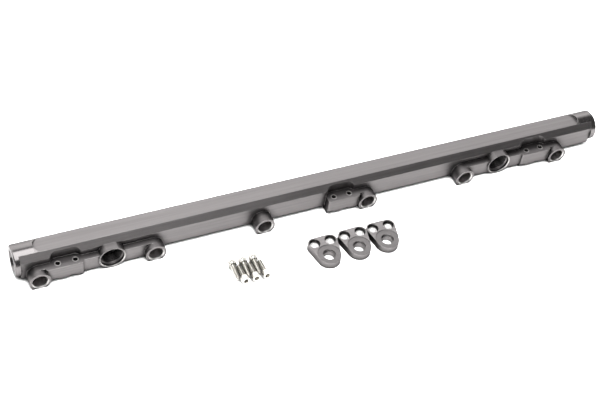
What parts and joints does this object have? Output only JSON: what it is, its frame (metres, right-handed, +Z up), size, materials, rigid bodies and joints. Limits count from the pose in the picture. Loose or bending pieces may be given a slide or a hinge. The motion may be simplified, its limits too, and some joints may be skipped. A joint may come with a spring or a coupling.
{
  "type": "fuel rail",
  "caption": "Straight machined fuel rail with injector bosses, bracket pads, side ports and end ports, shown with its brackets and cap screws laid beside it.",
  "frame": {"origin": "on the plane the rail rests on, under the axis of the first injector bore, in the plane of the bar's flat front face", "axes": "+X along the rail from the first injector to the last, +Z up, injector mouths facing -Y"},
  "size_m": [0.6213, 0.1014, 0.0322],
  "materials": {
    "rail": "satin dark grey anodised",
    "bracket": "satin dark grey anodised",
    "screw": "plain stainless"
  },
  "bodies": {
    "root": {"rail_body": "rail", "mounting_bracket_1": "bracket", "mounting_bracket_2": "bracket", "mounting_bracket_3": "bracket", "bracket_screw_1": "screw", "bracket_screw_2": "screw", "bracket_screw_3": "screw", "bracket_screw_4": "screw", "bracket_screw_5": "screw", "bracket_screw_6": "screw"}
  },
  "joints": []
}
